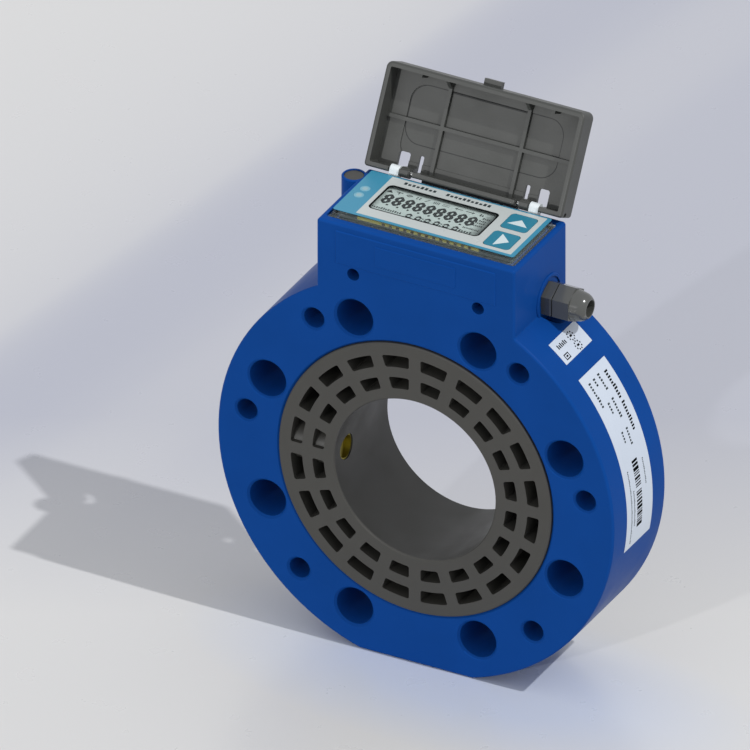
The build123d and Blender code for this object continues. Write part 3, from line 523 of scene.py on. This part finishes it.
WINDOW_LINE = 0.9  # width of the dark line round the window
window_line = ring(WINDOW, WINDOW_CORNER, WINDOW_LINE)
printed("display_outline", window_line, GLASS_TOP, "meter", BLACK)
printed("display_figures", big_figures() + small_figures(), LCD_TOP, "meter", BLACK)
printed("display_icons", signs(SIGN_Y), LCD_TOP, "meter", BLACK)
printed("display_marks", bar_rows(MARK_ROWS), LCD_TOP, "meter", BLACK)
printed("film_line", bar_rows(FILM_ROWS), FILM_TOP, "meter", GREY)


# The painted shade along the step inside the lid
FIELD_HALF = 37.9  # of the flat field, along X
FIELD_MARGINS = (13.8, 40.9)  # from the lid's rear edge
FIELD_CORNER = 8.0
FIELD_LINE = 0.4
# The wider part between the ribs is painted shadow
WIDE_LINE = 1.0
WIDE_LINE_HALF = 18.7


def lid_shade_line():
    """Painted shade along the step round the flat field inside the lid: a ring of thin plates, drawn on
    the shut lid and swung open with it. The side next to the free edge is wider between the two ribs, as
    painted shadow of the ribs."""
    front, rear = LID_REAR - FIELD_MARGINS[1], LID_REAR - FIELD_MARGINS[0]
    shapes = ring((-FIELD_HALF, FIELD_HALF, front, rear), FIELD_CORNER, FIELD_LINE)
    shapes.append(box_outline(-WIDE_LINE_HALF, WIDE_LINE_HALF, front, front + WIDE_LINE))
    points, faces = plates(shapes, LID_FLOOR - PRINT, LID_FLOOR)
    turn = radians(-LID_ANGLE)
    x, y, z = points.T
    y, z = y - HINGE[0], z - HINGE[1]
    swung_y = y * cos(turn) - z * sin(turn) + HINGE[0]
    swung_z = y * sin(turn) + z * cos(turn) + HINGE[1]
    swung = np.column_stack([x, swung_y, swung_z])
    return piece("lid_shade_line", swung, faces, "lid", STEP_SHADE)


lid_shade_line()


# The ports and the keys
PORT_FACE_RADIUS = 1.35
PORT_FACE_POINTS = 24
KEY_SIGNS = {
    "up_key": ((-4.9, -2.2), (4.9, -2.2), (0.0, 2.7)),
    "enter_key": ((-2.0, -5.2), (3.7, -0.2), (-2.0, 5.0)),
}


def port_faces():
    """The paler middles of the two light ports: discs of points on a circle."""
    turn = np.linspace(0, 2 * np.pi, PORT_FACE_POINTS, endpoint=False)
    disc = np.column_stack([np.cos(turn), np.sin(turn)]) * PORT_FACE_RADIUS
    return [disc + (PORT_X, y) for y in PORT_YS]


printed("port_faces", port_faces(), FILM_TOP, "meter", PORT_TEAL)
for key, y in KEY_YS.items():
    triangle = np.array(KEY_SIGNS[key]) + (KEY_X, y)
    printed(f"{key}_sign", [triangle], KEY_TOP, key, PALE)


# Print on the rim: angles in degrees from +X upwards, places along Y and heights of print in millimetres
RIM_STEP = 1.5  # at most, from one point of a curved slab to the next
RIM_PITCH = 0.85
RIM_FILL = 0.62
RIM_HEIGHTS = (1.0, 0.7, 0.85, 0.7, 0.7, 1.0)
HEADING_ROWS = ((38.1, 29.6, 7.3, 2.5), (28.9, 20.3, 7.3, 2.5))  # from, to, middle and height
TEXT_ROWS = (
    (38.8, 33.4, 1.7, 1.7),
    (31.5, 25.0, 1.7, 1.7),
    (22.7, 16.8, 2.1, 1.5),
    (38.6, 35.3, -2.7, 1.6),
    (31.2, 27.7, -2.5, 1.6),
    (22.6, 18.7, -2.3, 1.4),
    (38.5, 30.4, -7.0, 1.7),
)
FINE_ROWS = ((12.6, 4.9, 6.9, 0.9), (6.2, -4.7, -4.4, 0.9), (12.5, -9.4, -7.0, 0.9))
FINE_PITCH = 0.5
FINE_FILL = 0.6
STRIPES_FROM = 14.0
STRIPES_SPAN = (-2.1, 2.6)
STRIPE_WIDTHS = (  # dark and bare by turns
    (0.7, 0.35, 0.7, 0.35, 1.0, 0.3, 0.3, 0.3, 0.3, 0.5, 0.7, 0.3, 0.3, 0.5)
    + (0.4, 0.3, 0.3, 1.2, 0.3, 0.3, 0.6, 0.4, 0.3, 0.5, 0.6, 0.4, 0.7, 0.3)
    + (0.9, 0.4, 0.3, 0.3, 0.7, 0.3, 0.3, 0.5, 0.3, 0.3, 0.4, 0.3, 1.0)
)


def rim_print(name, patches, material):
    """Print on the rim: each patch is a thin curved slab between two angles and two places along Y, with
    its inner face on the rim and its outer face further out by the thickness."""
    points, faces, start = [], [], 0
    for low, high, y0, y1 in patches:
        steps = max(2, int(np.ceil((high - low) / RIM_STEP)) + 1)
        turn = np.radians(np.linspace(low, high, steps))
        ray = np.column_stack([np.cos(turn), np.zeros(steps), np.sin(turn)])
        inner, outer = ray * BODY_RADIUS, ray * (BODY_RADIUS + PRINT)
        points += [inner + (0, y0, 0), inner + (0, y1, 0), outer + (0, y1, 0), outer + (0, y0, 0)]
        rows = [np.arange(steps) + start + steps * i for i in range(4)]
        for row, beside in zip(rows, rows[1:] + rows[:1]):
            faces += np.column_stack([row[:-1], row[1:], beside[1:], beside[:-1]]).tolist()
        faces.append([int(row[0]) for row in rows])
        faces.append([int(row[-1]) for row in rows[::-1]])
        start += 4 * steps
    return piece(name, np.concatenate(points), faces, "meter", material)


def rim_rows(rows, pitch=RIM_PITCH, fill=RIM_FILL):
    """Short bars along the rim, each row from one angle down to another, in place of lines of print."""
    patches = []
    for start, end, y, height in rows:
        foot = y - height / 2
        for i in range(int((start - end) / pitch)):
            top = foot + height * RIM_HEIGHTS[i % len(RIM_HEIGHTS)]
            patches.append((start - pitch * (i + fill), start - pitch * i, foot, top))
    return patches


def stripes():
    """A block of dark stripes across the long plate: every other width is dark."""
    ends = STRIPES_FROM - np.cumsum((0.0,) + STRIPE_WIDTHS)
    dark = zip(ends[1::2].tolist(), ends[:-1:2].tolist())
    return [(low, high, *STRIPES_SPAN) for low, high in dark]


def ring_sign(angle, y, radius=2.1, teeth=9, tooth=0.36):
    """A toothed ring round a short bar: small squares at even steps of a circle."""
    across = degrees(1 / BODY_RADIUS)
    patches = [(angle - 0.5 * across, angle + 0.5 * across, y - 0.9, y + 0.9)]
    for i in range(teeth):
        turn = radians(360 / teeth * i)
        a, b = angle + radius * cos(turn) * across, y + radius * sin(turn)
        patches.append((a - tooth * across, a + tooth * across, b - tooth, b + tooth))
    return patches


def small_signs():
    """The small plate: two toothed rings, a row of six bars, and an outline of four bars round a fifth."""
    patches = ring_sign(50.7, 3.5) + ring_sign(47.7, 3.2)
    for i in range(6):
        y = -8.6 + 1.3 * i
        patches.append((50.1, 51.4 - 0.3 * (i % 2), y, y + 0.75))
    patches += [(46.7, 47.0, -9.2, -5.4), (48.1, 48.4, -9.2, -5.4), (47.0, 48.1, -9.2, -8.7)]
    return patches + [(47.0, 48.1, -5.9, -5.4), (47.3, 47.8, -8.0, -6.6)]


rim_print("rating_heading", rim_rows(HEADING_ROWS) + stripes(), BLACK)
rim_print("rating_lines", rim_rows(TEXT_ROWS) + rim_rows(FINE_ROWS, FINE_PITCH, FINE_FILL), GREY)
rim_print("small_signs", small_signs(), BLACK)


# Floor and sky
FLOOR_HALF = 4000.0
FLOOR_TONE = linear(206, 205, 203)
# Tone of the painted shade in the belt
BELT_SHADE_TONE = linear(171, 173, 184)
# Tone of the painted blue reflection of the body round the base
REFLECTION_TONE = linear(180, 195, 224)
BELT_WAY = (0.989, -0.147, 0.0)  # across the belt
BELT_SPAN = (-480, 110)
BELT_STOPS = (  # share of the span, and depth of the belt's painted shade there
    ((0.0, 0.0), (0.21, 0.25), (0.28, 0.45), (0.35, 0.98), (0.4, 0.9))
    + ((0.46, 0.74), (0.53, 0.9), (0.7, 0.9), (0.83, 0.84), (1.0, 0.8))
)
FAR_WAY = (-0.467, 0.884, 0.0)  # away from the camera
FAR_SPAN = (20, 190)
REFLECTION_CENTRE = (0.030, -0.024)
REFLECTION_SCALE = (9.1, 20.0)  # one over half of the painted reflection's width and depth, in metres
REFLECTION_FADE = (0.5, 1.3)
REFLECTION_DEPTH = 0.5
SKY_TONE = linear(236, 238, 243)
SKY_STRENGTH = 0.76


def floor_paint():
    """Pale paint with a faint gloss. A belt of painted shade lies aslant behind the object and fades out
    towards the camera, and an oval patch round the base is a painted blue reflection of the body, fading
    outwards."""
    paint = finish("floor_paint", FLOOR_TONE, 0.3, mottle=0.0, gloss_change=0.03, specular=0.9)
    tree = paint.node_tree
    point, _ = position(tree)

    def along(way):
        """How far a point of the floor lies in one direction."""
        made = tree.nodes.new("ShaderNodeVectorMath")
        made.operation = "DOT_PRODUCT"
        made.inputs[1].default_value = way
        tree.links.new(point, made.inputs[0])
        return made.outputs["Value"]

    # The belt of painted shade, aslant behind the object and fading out towards the camera
    belt = tree.nodes.new("ShaderNodeFloatCurve")
    curve = belt.mapping.curves[0]
    curve.points[0].location, curve.points[1].location = BELT_STOPS[0], BELT_STOPS[-1]
    for stop in BELT_STOPS[1:-1]:
        curve.points.new(*stop)
    belt.mapping.update()
    tree.links.new(ramp(tree, along(BELT_WAY), BELT_SPAN), belt.inputs["Value"])
    depth = joined(tree, "MULTIPLY", belt.outputs["Value"], ramp(tree, along(FAR_WAY), FAR_SPAN))

    # The painted blue reflection of the body on the floor: an oval round the base that fades outwards
    oval = tree.nodes.new("ShaderNodeMapping")
    oval.inputs["Scale"].default_value = (*REFLECTION_SCALE, 0.0)
    oval.inputs["Location"].default_value = (*(-c * s for c, s in zip(REFLECTION_CENTRE, REFLECTION_SCALE)), 0.0)
    reach = tree.nodes.new("ShaderNodeVectorMath")
    reach.operation = "LENGTH"
    tree.links.new(point, oval.inputs["Vector"])
    tree.links.new(oval.outputs["Vector"], reach.inputs[0])
    blue_reflection = mapped(tree, reach.outputs["Value"], REFLECTION_FADE, (REFLECTION_DEPTH, 0.0))

    shaded_floor = mixed(tree, depth, FLOOR_TONE, BELT_SHADE_TONE)
    colour = mixed(tree, blue_reflection, shaded_floor, REFLECTION_TONE)
    tree.links.new(colour, tree.nodes["Principled BSDF"].inputs["Base Color"])
    return paint


def floor():
    """A wide level square just under the base."""
    mesh = bpy.data.meshes.new("floor")
    corners = box_outline(-FLOOR_HALF, FLOOR_HALF, -FLOOR_HALF, FLOOR_HALF)
    mesh.from_pydata([(x * MM, y * MM, BASE_Z * MM) for x, y in corners.tolist()], [], [(0, 1, 2, 3)])
    mesh.materials.append(floor_paint())
    made = bpy.data.objects.new("floor", mesh)
    bpy.context.scene.collection.objects.link(made)


def world():
    """An even pale sky."""
    sky = bpy.data.worlds.new("sky")
    bpy.context.scene.world = sky
    sky.use_nodes = True
    ground = sky.node_tree.nodes["Background"]
    ground.inputs["Color"].default_value = SKY_TONE
    ground.inputs["Strength"].default_value = SKY_STRENGTH


# Lamps and camera
LAMP_DISTANCE = 1.2
VIEW_AZIMUTH = 27.85
VIEW_ELEVATION = 30.94
VIEW_WIDTH = 0.3298
VIEW_CENTRE_Y = -24.5  # on the front face of the body
VIEW_RIGHT = -17.81  # from there to the middle of the picture
VIEW_UP = 45.82
VIEW_DISTANCE = 1.5
VIEW_END = 20


def sun(name, strength, direction, angle):
    """A far lamp in one direction from the object, which shines towards it. The angle is its apparent
    width in degrees."""
    data = bpy.data.lights.new(name, "SUN")
    data.energy = strength
    data.angle = radians(angle)
    made = bpy.data.objects.new(name, data)
    bpy.context.scene.collection.objects.link(made)
    way = Vector(direction).normalized()
    made.location = way * LAMP_DISTANCE
    made.rotation_euler = (-way).to_track_quat("-Z", "Y").to_euler()


def camera():
    """The photograph's view: straight on, without perspective, from the right and from above."""
    azimuth, elevation = radians(VIEW_AZIMUTH), radians(VIEW_ELEVATION)
    right = Vector((cos(azimuth), sin(azimuth), 0))
    back = Vector((sin(azimuth) * cos(elevation), -cos(azimuth) * cos(elevation), sin(elevation)))
    up = back.cross(right)
    centre = Vector((0, VIEW_CENTRE_Y * MM, 0)) + right * VIEW_RIGHT * MM + up * VIEW_UP * MM
    data = bpy.data.cameras.new("camera")
    data.type = "ORTHO"
    data.ortho_scale = VIEW_WIDTH
    data.clip_end = VIEW_END
    made = bpy.data.objects.new("camera", data)
    bpy.context.scene.collection.objects.link(made)
    turn = Matrix((right, up, back)).transposed().to_4x4()
    made.matrix_world = Matrix.Translation(centre + back * VIEW_DISTANCE) @ turn
    bpy.context.scene.camera = made


floor()
world()
sun("sun", 1.75, (183.8, -4.2, 254), 0.8)
sun("low_sun", 0.85, (-42, -230, 69), 1.2)
camera()
bpy.context.scene.view_settings.view_transform = "Standard"
